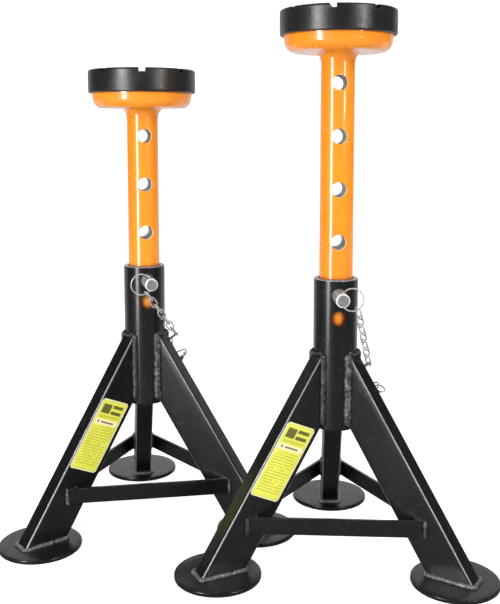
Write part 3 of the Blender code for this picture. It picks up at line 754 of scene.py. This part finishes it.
def leg(side, nm, M, body):
    az = LEG_AZ[nm]
    w = LEG_WIDTH / 2
    loop = rounded_rect(0.0, LEG_DEPTH, -w, w, LEG_CORNER)
    z_end = FOOT_T + GAP
    rows = 40
    bm = bmesh.new()
    rings = []
    for k in range(rows + 1):
        f = k / rows
        ring = []
        for v, t in loop:
            rr = math.sqrt((SLEEVE_R + GAP) ** 2 - t * t)
            s0 = (rr - SLEEVE_R + v * math.cos(LEG_ANGLE)) / math.sin(LEG_ANGLE)
            s1 = (LEG_TOP_Z - v * math.sin(LEG_ANGLE) - z_end) / math.cos(LEG_ANGLE)
            ring.append(bm.verts.new(leg_point(az, s0 + (s1 - s0) * f, v, t)))
        rings.append(ring)
    n = len(loop)
    for a, b in zip(rings, rings[1:]):
        for i in range(n):
            j = (i + 1) % n
            bm.faces.new((a[i], a[j], b[j], b[i]))
    bm.faces.new(list(reversed(rings[0])))
    bm.faces.new(rings[-1])
    o = finish_mesh(f"{side}_leg_{nm}_tube", bm, "black", body, M, [f"{side}_leg_{nm}"], 40)
    # painted highlight: the corners' middle strips get a pale grey that stands in for the bright edge lines
    o.data.materials.append(MAT["edge"])
    rot = M.to_3x3().inverted()
    across = radial(az, 0.0, 1.0, 0.0)
    out = leg_point(az, 0.0, -1.0, 0.0) - leg_point(az, 0.0, 0.0, 0.0)
    for p in o.data.polygons:
        nl = rot @ p.normal
        if min(abs(nl.dot(across)), abs(nl.dot(out))) > 0.42:
            p.material_index = 1
    return o


def foot(side, nm, M, body):
    c = radial(LEG_AZ[nm], FOOT_CIRCLE, 0.0, 0.0)
    prof = [(0, 0), (FOOT_R * 0.6, 0)] + arc(FOOT_R - 0.0007, 0.0007, 0.0007, -90, 0, 3)
    prof += arc(FOOT_R - 0.0011, FOOT_T - 0.0011, 0.0011, 0, 90, 5)
    prof += [(FOOT_R * 0.8, FOOT_T), (FOOT_R * 0.5, FOOT_T), (0, FOOT_T)]
    return finish_mesh(f"{side}_foot_{nm}_plate", lathe(prof, 120), "black", body, M @ Matrix.Translation(c),
                       [f"{side}_foot_{nm}"], 40)


def brace_shape():
    rm = (SLEEVE_R + (LEG_TOP_Z - BRACE_Z) * math.tan(LEG_ANGLE) - LEG_DEPTH / (2 * math.cos(LEG_ANGLE)))
    w = LEG_WIDTH / 2 + GAP
    mid = radial(330.0, rm, -w, 0.0)

    def end_x(y):
        a = math.radians(330.0)
        r = (y + w * math.cos(a)) / math.sin(a)
        return r * math.cos(a) + w * math.sin(a)
    return mid.y, end_x


def brace(side, nm, turn, M, body):
    y0, end_x = brace_shape()
    r = 0.0007
    loop = rounded_rect(-BRACE_T / 2, BRACE_T / 2, -BRACE_H / 2, BRACE_H / 2, r, 4, 4)
    bm = bmesh.new()
    rows = 36
    rings = []
    for k in range(rows + 1):
        f = k / rows
        ring = []
        for dy, dz in loop:
            x1 = end_x(y0 + dy)
            ring.append(bm.verts.new((-x1 + 2 * x1 * f, y0 + dy, BRACE_Z + dz)))
        rings.append(ring)
    n = len(loop)
    for a, b in zip(rings, rings[1:]):
        for i in range(n):
            j = (i + 1) % n
            bm.faces.new((a[i], a[j], b[j], b[i]))
    bm.faces.new(list(reversed(rings[0])))
    bm.faces.new(rings[-1])
    return finish_mesh(f"{side}_brace_{nm}_bar", bm, "black", body, M @ Matrix.Rotation(math.radians(turn), 4, 'Z'),
                       [f"{side}_brace_{nm}"], 40)


def label(side, M, body):
    """Thin sheet with rounded corners, UVs across (U) and down (V) the label."""
    w = LEG_WIDTH / 2 + GAP
    (s0, v0), (s1, v1), (s2, v2), (s3, v3) = LABEL_SV

    def at(U, V):
        a = Vector((s0, v0)).lerp(Vector((s1, v1)), U)
        b = Vector((s3, v3)).lerp(Vector((s2, v2)), U)
        return a.lerp(b, V)
    bm = bmesh.new()
    uvl = bm.loops.layers.uv.new("UVMap")
    nu, nv = 14, 34
    ru, rv = 0.06, 0.025                         # corner rounding
    tops, bots = {}, {}
    for j in range(nv + 1):
        V = j / nv
        lo = 0.0
        if V < rv:
            lo = ru * (1 - math.sqrt(max(0, 1 - (1 - V / rv) ** 2)))
        elif V > 1 - rv:
            lo = ru * (1 - math.sqrt(max(0, 1 - (1 - (1 - V) / rv) ** 2)))
        for i in range(nu + 1):
            U = lo + (1 - 2 * lo) * i / nu
            q = at(U, V)
            edge = min(i, nu - i, j, nv - j) == 0
            tops[i, j] = (bm.verts.new(leg_point(LEG_AZ["left"], q.x, q.y, w + (LABEL_T * 0.6 if edge else LABEL_T))), U, V)
            bots[i, j] = (bm.verts.new(leg_point(LEG_AZ["left"], q.x, q.y, w)), U, V)

    def quad(ids, table, flip=False):
        vs = [table[k] for k in ids]
        if flip:
            vs = vs[::-1]
        f = bm.faces.new([v[0] for v in vs])
        for l, v in zip(f.loops, vs):
            l[uvl].uv = (v[1], v[2])
    for j in range(nv):
        for i in range(nu):
            ids = ((i, j), (i + 1, j), (i + 1, j + 1), (i, j + 1))
            quad(ids, tops)
            quad(ids, bots, True)
    ring = [(i, 0) for i in range(nu)] + [(nu, j) for j in range(nv)] + [(i, nv) for i in range(nu, 0, -1)] + [(0, j) for j in range(nv, 0, -1)]
    for k, a in enumerate(ring):
        b = ring[(k + 1) % len(ring)]
        vs = [tops[a], tops[b], bots[b], bots[a]]
        f = bm.faces.new([v[0] for v in vs])
        for l, v in zip(f.loops, vs):
            l[uvl].uv = (v[1], v[2])
    return finish_mesh(side + "_label_sheet", bm, "label", body, M, [side + "_capacity_label"], 60)


def pin(side, M, body):
    P = M @ Matrix.Translation((0, 0, PIN_Z)) @ Matrix.Rotation(PIN_AZ, 4, 'Z')
    T = P @ Matrix.Rotation(-math.pi / 2, 4, 'Y')
    c = LOCK_CHAMFER
    prof = [(0, -LOCK_FRONT), (0.0016, -LOCK_FRONT + 0.00025), (LOCK_R - c - 0.0007, -LOCK_FRONT + 0.0001), (LOCK_R - c - 0.0003, -LOCK_FRONT),
            (LOCK_R - c, -LOCK_FRONT + 0.00008), (LOCK_R - 0.0001, -LOCK_FRONT + c), (LOCK_R, -LOCK_FRONT + c + 0.0002)]
    prof += [(LOCK_R, -0.030), (LOCK_R, -0.010), (LOCK_R, 0.010), (LOCK_R, LOCK_REAR - 2.4 * c)]
    prof += [(LOCK_R - 0.3 * c, LOCK_REAR - 1.7 * c), (LOCK_R - 1.6 * c, LOCK_REAR), (0, LOCK_REAR)]
    o = finish_mesh(side + "_pin_bar", lathe(prof, 72), "zinc", body, T, [side + "_lock_pin"], 26)
    o.data.materials.append(MAT["bright"])
    o.data.materials.append(MAT["dark_zinc"])
    W = P @ Matrix.Translation((EYE_OUT, 0, 0)) @ Matrix.Rotation(math.pi / 2, 4, 'Y')
    boolean(o, [temp(saddle_cutter(LOCK_R, EYE_R, 0.00035, 32), W)])
    inv = T.inverted()
    for p in o.data.polygons:
        q = inv @ p.center
        nl = inv.to_3x3() @ p.normal
        # painted highlight: the front chamfer gets the paler zinc for its bright ring; the end face gets the darker
        # zinc
        if q.z < -LOCK_FRONT + c + 0.0001 and 0.2 < abs(nl.z) < 0.9:
            p.material_index = 1
        elif q.z < -LOCK_FRONT + 0.0004 and abs(nl.z) >= 0.9:
            p.material_index = 2
    round_normals(o, T, LOCK_R)
    return P


def ring(side, P, body):
    """Split ring: two turns of wire lying side by side, ends overlapping."""
    n = 150
    wire = 0.00060
    off = RING_WIRE - wire
    pts = []
    for i in range(n + 1):
        f = i / n
        a = math.radians(35) + f * 2 * 2 * math.pi * 0.985
        x = -off + 2 * off * min(1.0, max(0.0, (f - 0.44) / 0.12))
        pts.append(Vector((x, RING_R * math.cos(a), RING_R * math.sin(a))))
    T = P @ Matrix.Translation((EYE_OUT, RING_TO[side] * RING_SIDE, 0))
    bm = sweep(pts, wire, 10, up=Vector((1, 0, 0)))
    return finish_mesh(side + "_ring_coil", bm, "wire", body, T, [side + "_pull_ring"], 60)


def turned(v, axis, angle):
    return Matrix.Rotation(angle, 3, axis) @ v


def chain_path(side):
    """Pivot points from the ring to the eye, and each link's width direction."""
    fwd = Vector((math.cos(PIN_AZ), math.sin(PIN_AZ), 0.0))
    across = Vector((-math.sin(PIN_AZ), math.cos(PIN_AZ), 0.0))
    up = Vector((0.0, 0.0, 1.0))
    phi = math.radians(RING_HOLD[side])
    start = (fwd * EYE_OUT + up * PIN_Z + across * (RING_TO[side] * RING_SIDE)
             + RING_R * (math.cos(phi) * across - math.sin(phi) * up))
    aim = leg_point(LEG_AZ["right"], *CHAIN_AIM[side])
    end = leg_point(LEG_AZ["right"], *CHAIN_EYE[side])
    run = (aim - start).normalized()
    pts = [start + run * (LINK_PITCH * i) for i in range(LINKS_STRAIGHT + 1)]
    n = LINKS_LOOP
    chord = (end - pts[-1]).length
    lo, hi = 1e-4, 2 * math.pi / n - 1e-4
    for _ in range(80):
        mid = (lo + hi) / 2
        if LINK_PITCH * math.sin(n * mid / 2) / math.sin(mid / 2) > chord:
            lo = mid
        else:
            hi = mid
    bend = (lo + hi) / 2
    ex = (end - pts[-1]) / chord
    ey = (-up - ex * (-up).dot(ex)).normalized()
    for k in range(n):
        a = (n - 1) / 2 * bend - k * bend
        pts.append(pts[-1] + LINK_PITCH * (math.cos(a) * ex + math.sin(a) * ey))
    dirs = [(b - a).normalized() for a, b in zip(pts, pts[1:])]
    w = (fwd - run * fwd.dot(run)).normalized()
    w = turned(w, run, math.radians(CHAIN_ROLL[side][0]))
    widths = [w]
    for i in range(1, len(dirs)):
        axis = dirs[i - 1].cross(dirs[i])
        if axis.length > 1e-7:
            w = turned(w, axis.normalized(), math.atan2(axis.length, dirs[i - 1].dot(dirs[i])))
        w = dirs[i].cross(w)
        if i == LINKS_STRAIGHT:
            w = turned(w, dirs[i], math.radians(CHAIN_ROLL[side][1]))
        w.normalize()
        widths.append(w.copy())
    return pts, dirs, widths


def chain(side, M, base):
    pts, dirs, widths = chain_path(side)
    last = len(dirs) - 1
    for i, (p, d, w) in enumerate(zip(pts, dirs, widths)):
        near = LINK_RING_PLAY if i == 0 else LINK_PLAY
        far = LINK_EYE_PLAY if i == last else LINK_PLAY
        a, b = -near + LINK_HALF, LINK_PITCH + far - LINK_HALF
        loop = []
        for cx, a0 in ((b, 90.0), (a, -90.0)):
            for k in range(17):
                t = math.radians(a0 - 180.0 * k / 16)
                loop.append(d * (cx + LINK_HALF * math.cos(t)) + w * (LINK_HALF * math.sin(t)))
            q = loop[-1]
            e = q + d * ((a - b) if cx == b else (b - a))
            loop += [q.lerp(e, j / 12) for j in range(1, 12)]
        n = len(loop)
        seam = 17 + 6 + (n // 2 if i % 2 else 0)

        def shape(j, ang, seam=seam, n=n):
            # the butt weld where the link was closed
            dj = min((j - seam) % n, (seam - j) % n)
            return 1.0 + 0.13 * math.exp(-(dj / 1.1) ** 2), 0.0

        up = d.cross(w)
        bm = sweep(loop, LINK_WIRE * 0.985, 12, closed=True, up=up, shape=shape)
        nm = f"{side}_chain_link_{i + 1:02d}"
        finish_mesh(f"{side}_link_{i + 1:02d}_wire", bm, "wire", nm + "_body", M @ Matrix.Translation(p), [nm], 60)
    # the eye: a wire ring with a small weld pool against the leg's face
    m = Vector(CHAIN_EYE_PLANE[side]).normalized()
    nn = Vector(CHAIN_EYE_OUT[side])
    nn = (nn - m * nn.dot(m)).normalized()
    face = radial(LEG_AZ["right"], 0.0, 1.0, 0.0)
    height = CHAIN_EYE[side][2] - LEG_WIDTH / 2
    r = (height - CHAIN_EYE_WIRE - GAP) / (nn.dot(face) + math.sqrt(1 - m.dot(face) ** 2))
    loop = [nn * (r * math.cos(2 * math.pi * k / 72) - r) + m.cross(nn) * (r * math.sin(2 * math.pi * k / 72))
            for k in range(72)]
    T = M @ Matrix.Translation(pts[-1])
    finish_mesh(side + "_eye_wire", sweep(loop, CHAIN_EYE_WIRE, 12, closed=True, up=m), "zinc", base, T,
                [side + "_chain_eye"], 60)
    low = min(loop, key=lambda q: q.dot(face))
    tang = m.cross(face).normalized()
    foot_at = low - face * (CHAIN_EYE_WIRE * 0.3)
    path = [foot_at + tang * (0.0030 * (j / 6 - 0.5) * 2) for j in range(7)]
    finish_mesh(side + "_eye_weld", bead_bm(path, 0.0013, 900 if side == "left" else 950, pitch=0.0016),
                "weld", base, T, sharp=80)


def welds(side, M, body):
    rs = SLEEVE_R
    k = 0
    seedbase = 100 if side == "left" else 300
    for nm, az in LEG_AZ.items():
        # up each flank of the leg where it meets the sleeve, and over its back
        r = math.sqrt((rs + 0.0006) ** 2 - (LEG_WIDTH / 2 + 0.0006) ** 2)
        z_hi = LEG_TOP_Z + (rs - r) / math.tan(LEG_ANGLE) + 0.0005
        s_lo = (r - rs + LEG_DEPTH * math.cos(LEG_ANGLE)) / math.sin(LEG_ANGLE)
        z_lo = LEG_TOP_Z - s_lo * math.cos(LEG_ANGLE) - LEG_DEPTH * math.sin(LEG_ANGLE)
        for sgn in (-1, 1):
            t = sgn * (LEG_WIDTH / 2 + 0.0011)
            path = [radial(az, r + 0.0003, t, z_hi), radial(az, r + 0.0003, t, z_lo + 0.0005)]
            # painted shade: every bead but the right leg's wide flank takes the shaded weld copy
            wide = nm == "right" and sgn < 0
            bm = bead_bm(path, 0.0041 if wide else 0.0030, seedbase + k, pitch=0.0022 if wide else 0.0026, wobble=0.13)
            finish_mesh(f"{side}_weld_{nm}_flank_{'ab'[(sgn + 1) // 2]}", bm, "weld" if wide else "shaded_weld", body, M, sharp=80)
            k += 1
        path = [radial(az, math.sqrt((rs + 0.001) ** 2 - t * t), t, LEG_TOP_Z + (rs - math.sqrt(rs ** 2 - t * t)) / math.tan(LEG_ANGLE) + 0.0012)
                for t in [(-0.0100 + 0.0200 * i / 8) for i in range(9)]]
        # painted shade: the crown takes the shaded weld copy
        finish_mesh(f"{side}_weld_{nm}_crown", bead_bm(path, 0.0017, seedbase + k, pitch=0.0020, wobble=0.16), "shaded_weld", body, M, sharp=80)
        k += 1
        # round the leg's end on the foot plate
        w = LEG_WIDTH / 2
        z = FOOT_T
        loop = []
        for v, t in rounded_rect(-0.0006, LEG_DEPTH + 0.0006, -w - 0.0008, w + 0.0008, 0.003, 4, 10):
            s = (LEG_TOP_Z - v * math.sin(LEG_ANGLE) - z - 0.0006) / math.cos(LEG_ANGLE)
            loop.append(leg_point(az, s, v, t))
        nloop = len(loop)
        start = nloop // 8
        order = [loop[(start + i) % nloop] for i in range(nloop + 1)]
        finish_mesh(f"{side}_weld_{nm}_foot", bead_bm(order, 0.0023, seedbase + k, pitch=0.0029, wobble=0.14), "foot_weld", body, M, sharp=80)
        k += 1
    # brace ends: beads down the front and back of each bar's end
    y0, end_x = brace_shape()
    for nm, turn in (("front", 0.0), ("right", 120.0), ("left", 240.0)):
        T = M @ Matrix.Rotation(math.radians(turn), 4, 'Z')
        for sgn in (-1, 1):
            for side_y in (-1, 1):
                y = y0 + side_y * (BRACE_T / 2 + 0.0005)
                x = sgn * (end_x(y) - 0.0009)
                path = [Vector((x, y, BRACE_Z + BRACE_H / 2 + 0.0006)), Vector((x, y, BRACE_Z - BRACE_H / 2 - 0.0006))]
                bm = bead_bm(path, 0.0021, seedbase + 50 + k, pitch=0.0028, wobble=0.16)
                finish_mesh(f"{side}_weld_brace_{nm}_{'lr'[(sgn + 1) // 2]}{'fb'[(side_y + 1) // 2]}", bm, "weld", body, T, sharp=80)
                k += 1


def stand(side):
    a = JOINTS[side + "_pin_pull"]["axis"]
    yaw = math.atan2(a[1], a[0]) - PIN_AZ
    lo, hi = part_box(side + "_base_sleeve")
    M = Matrix.Translation(((lo[0] + hi[0]) / 2, (lo[1] + hi[1]) / 2, 0.0)) @ Matrix.Rotation(yaw, 4, 'Z')
    base = side + "_base"
    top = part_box(side + "_rubber_pad")[1][2]
    sleeve(side, M, base)
    post(side, M, top, side + "_post_body")
    cup(side, M, top, side + "_post_body")
    pad(side, M, top, side + "_pad_body")
    for nm in LEG_AZ:
        leg(side, nm, M, base)
        foot(side, nm, M, base)
    for nm, turn in (("front", 0.0), ("right", 120.0), ("left", 240.0)):
        brace(side, nm, turn, M, base)
    label(side, M, base)
    P = pin(side, M, side + "_pin_body")
    ring(side, P, side + "_ring_body")
    chain(side, M, base)
    welds(side, M, base)
    return M


for s in ("left", "right"):
    stand(s)

# ----------------------------------------------------- floor, light, camera
bm = bmesh.new()
nx, ny, back = 8, 26, 2.6
rows = []
for j in range(ny + 1):
    f = j / ny
    if f < 0.6:
        y, z = -2.2 + f / 0.6 * (back + 2.2 - 0.9), 0.0
    else:
        a = (f - 0.6) / 0.4 * math.pi / 2
        y, z = back - 0.9 + 0.9 * math.sin(a), 0.9 * (1 - math.cos(a))
    rows.append([bm.verts.new((-3.2 + 6.4 * i / nx, y, z - 0.0002)) for i in range(nx + 1)])
rows.append([bm.verts.new((-3.2 + 6.4 * i / nx, back, 3.2)) for i in range(nx + 1)])
for a, b in zip(rows, rows[1:]):
    for i in range(nx):
        bm.faces.new((a[i], a[i + 1], b[i + 1], b[i]))
me = bpy.data.meshes.new("studio_sweep")
bm.to_mesh(me)
bm.free()
me.shade_smooth()
n = Nodes("look_pale_floor")
lp = n.node("ShaderNodeLightPath")
pale = n.mix(n.noise(2.5, 4.0), (0.90, 0.90, 0.90), (0.93, 0.93, 0.925))
# mirror-like rays see a dim studio, so gloss paint keeps its depth
geo = n.node("ShaderNodeNewGeometry")
sep = n.node("ShaderNodeSeparateXYZ")
n.put(sep.inputs[0], geo.outputs["Position"])
front = n.range(sep.outputs["Y"], 0.15, 0.55, 1.0, 0.0)
dim = n.math('MAXIMUM', n.math('MULTIPLY', lp.outputs["Is Glossy Ray"], front), n.math('MULTIPLY', lp.outputs["Is Diffuse Ray"], 0.45))
me.materials.append(n.out(Base_Color=n.mix(dim, pale, (0.16, 0.16, 0.16)), Emission_Color=(1.0, 1.0, 1.0),
                          Emission_Strength=n.math('MULTIPLY', lp.outputs["Is Camera Ray"], 0.42),
                          Roughness=n.range(n.noise(6.0), 0.3, 0.7, 0.75, 0.85), Specular_IOR_Level=0.2,
                          Normal=n.bump(n.noise(300.0, 3.0), 0.03, 0.0004)))
floor = bpy.data.objects.new("studio_sweep", me)
scene.collection.objects.link(floor)
floor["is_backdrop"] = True

world = bpy.data.worlds.new("studio_world")
scene.world = world
world.use_nodes = True
bg = world.node_tree.nodes["Background"]
bg.inputs[0].default_value = (1.0, 1.0, 1.0, 1.0)
wt = world.node_tree
wp = wt.nodes.new("ShaderNodeLightPath")
mx = wt.nodes.new("ShaderNodeMapRange")
wt.links.new(wp.outputs["Is Glossy Ray"], mx.inputs["Value"])
mx.inputs["To Min"].default_value = 0.42
mx.inputs["To Max"].default_value = 0.022
wt.links.new(mx.outputs["Result"], bg.inputs[1])


def area(name, loc, target, w, h, power, color=(1, 1, 1)):
    d = bpy.data.lights.new(name, 'AREA')
    d.shape, d.size, d.size_y, d.energy, d.color = 'RECTANGLE', w, h, power, color
    o = bpy.data.objects.new(name, d)
    o.location = loc
    o.rotation_euler = (Vector(target) - Vector(loc)).to_track_quat('-Z', 'Y').to_euler()
    scene.collection.objects.link(o)
    return o



def axis_of(side):
    lo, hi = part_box(side + "_base_sleeve")
    return Vector(((lo[0] + hi[0]) / 2, (lo[1] + hi[1]) / 2, 0.0))


LP, RP = axis_of("left"), axis_of("right")
MID = (LP + RP) / 2
area("strip_left", (MID.x - 0.80, MID.y - 0.98, 0.34), (MID.x, MID.y, 0.30), 0.20, 1.15, 21, (1.0, 0.985, 0.96))
area("strip_right", (MID.x + 0.95, MID.y - 1.00, 0.92), (MID.x, MID.y, 0.42), 0.12, 0.95, 11, (1.0, 0.985, 0.96))
rim = area("edge_right", (MID.x + 1.05, MID.y - 0.10, 0.50), (MID.x, MID.y, 0.20), 0.25, 0.9, 4)
soft = area("top_soft", (MID.x, MID.y - 0.2, 2.3), (MID.x, MID.y, 0.0), 3.0, 3.0, 40)
soft.visible_glossy = False
rim.visible_glossy = False
fill = area("front_fill", (MID.x + 0.1, MID.y - 2.3, 1.1), (MID.x, MID.y, 0.25), 2.4, 1.6, 13)
fill.visible_glossy = False

# the camera stands 977 mm in front of the left stand and 430 mm up
cam = bpy.data.cameras.new("photo_camera")
cam.sensor_width, cam.lens = 36.0, 36.0 * 894.0 / 604.0
cam.shift_y = -73.0 / 604.0
cam.clip_start = 0.05
co = bpy.data.objects.new("photo_camera", cam)
co.location = ((LP.x + 0.11677 + RP.x - 0.0864) / 2, (LP.y - 0.977 + RP.y - 0.88925) / 2, 0.430)
co.rotation_euler = (math.radians(90 - 6.21), 0.0, 0.0)
scene.collection.objects.link(co)
scene.camera = co

scene.view_settings.view_transform = 'Standard'
scene.view_settings.look = 'None'

{"cad": cad_box, "visual": plain(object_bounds())}
